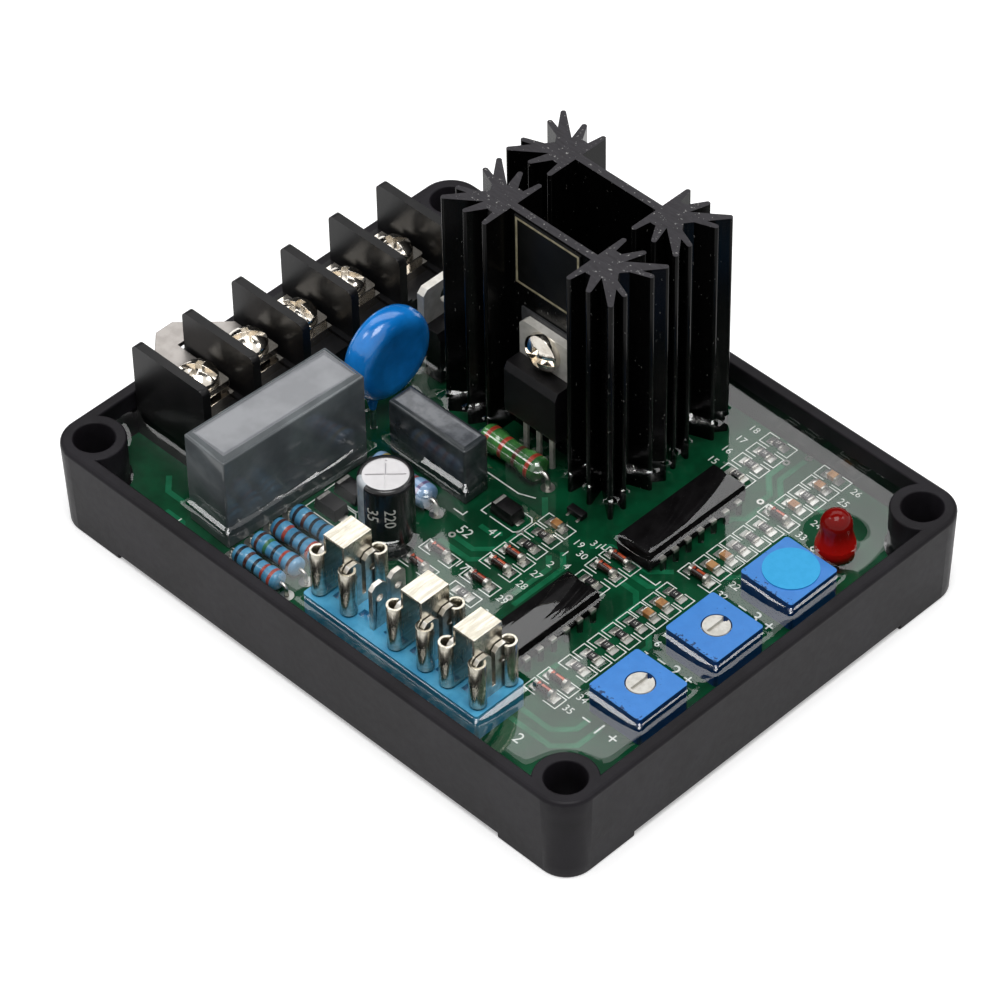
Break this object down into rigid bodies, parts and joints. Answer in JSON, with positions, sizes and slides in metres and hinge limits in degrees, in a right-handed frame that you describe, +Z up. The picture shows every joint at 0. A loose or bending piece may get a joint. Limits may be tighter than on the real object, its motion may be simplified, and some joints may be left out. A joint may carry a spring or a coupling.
{
  "type": "automatic voltage regulator",
  "caption": "Potted generator voltage regulator: a resin-filled tray with screw terminals, finned heat sinks, push-on jumper links, trimmers and a status lamp, bolted down at its corners.",
  "frame": {"origin": "middle of the mounting hole pattern, at the underside of the tray's feet", "axes": "+X from the screw terminals to the trimmers, along the tray's long side; +Z up, out of the tray's open top"},
  "size_m": [0.1043, 0.0798, 0.0475],
  "materials": {
    "tray_plastic": "satin moulded, finely grained",
    "board": "solder mask under resin",
    "resin": "clear poured resin, glossy",
    "terminal_plastic": "satin moulded",
    "tinned_brass": "bright tin plate",
    "plated_steel": "nickel plate",
    "capacitor_grey": "grey box under a resin film",
    "capacitor_dark": "dark grey box under a resin film",
    "varistor_blue": "dipped epoxy, glossy",
    "bare_aluminium": "drawn can",
    "sleeve_black": "shrunk sleeve",
    "anodised_black": "black anodised extrusion",
    "epoxy_black": "moulded epoxy",
    "pad_rubber": "thin insulating sheet",
    "header_blue": "moulded, glossy",
    "trimmer_blue": "moulded, satin",
    "rotor_white": "moulded",
    "seal_blue": "paper seal",
    "lamp_red": "tinted clear epoxy",
    "resistor_blue": "lacquer with colour bands",
    "power_resistor_blue": "lacquer with colour bands",
    "choke_green": "lacquer with colour bands",
    "ceramic_tan": "fired ceramic",
    "diode_orange": "glass bead"
  },
  "bodies": {
    "regulator": {"tray": "tray_plastic", "circuit_board": "board", "potting_resin": "resin", "terminal_block": "terminal_plastic", "terminal_contacts": "tinned_brass", "clamp_plates": "tinned_brass", "terminal_screws": "plated_steel", "terminal_link_plate": "plated_steel", "film_capacitor_large": "capacitor_grey", "film_capacitor_small": "capacitor_dark", "varistor": "varistor_blue", "electrolytic_can": "bare_aluminium", "electrolytic_sleeve": "sleeve_black", "heat_sink_front": "anodised_black", "heat_sink_rear": "anodised_black", "front_device_body": "epoxy_black", "front_device_frame": "tinned_brass", "rear_device_body": "epoxy_black", "rear_device_frame": "tinned_brass", "upright_device_body": "epoxy_black", "upright_device_frame": "tinned_brass", "insulating_pads": "pad_rubber", "device_screws": "plated_steel", "device_nuts": "plated_steel", "jumper_header": "header_blue", "jumper_tabs": "tinned_brass", "voltage_trimmer_body": "trimmer_blue", "stability_trimmer_body": "trimmer_blue", "frequency_trimmer_body": "trimmer_blue", "frequency_rotor": "rotor_white", "rotor_seal": "seal_blue", "status_lamp": "lamp_red", "chip_front_body": "epoxy_black", "chip_front_pins": "tinned_brass", "chip_rear_body": "epoxy_black", "chip_rear_pins": "tinned_brass", "film_resistors": "resistor_blue", "film_resistor_leads": "tinned_brass", "power_resistor": "power_resistor_blue", "power_resistor_leads": "tinned_brass", "choke_body": "choke_green", "choke_leads": "tinned_brass", "smd_resistors": "epoxy_black", "smd_capacitors": "ceramic_tan", "glass_diodes": "diode_orange", "moulded_diodes": "epoxy_black", "small_transistor": "epoxy_black"},
    "voltage_dial": {"voltage_rotor": "rotor_white"},
    "stability_dial": {"stability_rotor": "rotor_white"},
    "first_link": {"jumper_link_1": "tinned_brass"},
    "second_link": {"jumper_link_2": "tinned_brass"},
    "third_link": {"jumper_link_3": "tinned_brass"}
  },
  "joints": [
    {"name": "voltage_turn", "type": "hinge", "parent": "regulator", "child": "voltage_dial", "pos_m": [0.03955, -0.0142, 0.0112], "axis": [0, 0, 1], "range_deg": [-130, 130]},
    {"name": "stability_turn", "type": "hinge", "parent": "regulator", "child": "stability_dial", "pos_m": [0.03955, 0.00065, 0.0112], "axis": [0, 0, 1], "range_deg": [-130, 130]},
    {"name": "first_link_pull", "type": "slide", "parent": "regulator", "child": "first_link", "axis": [0, 0, 1], "range_m": [0, 0.0075]},
    {"name": "second_link_pull", "type": "slide", "parent": "regulator", "child": "second_link", "axis": [0, 0, 1], "range_m": [0, 0.0075]},
    {"name": "third_link_pull", "type": "slide", "parent": "regulator", "child": "third_link", "axis": [0, 0, 1], "range_m": [0, 0.0075]}
  ]
}
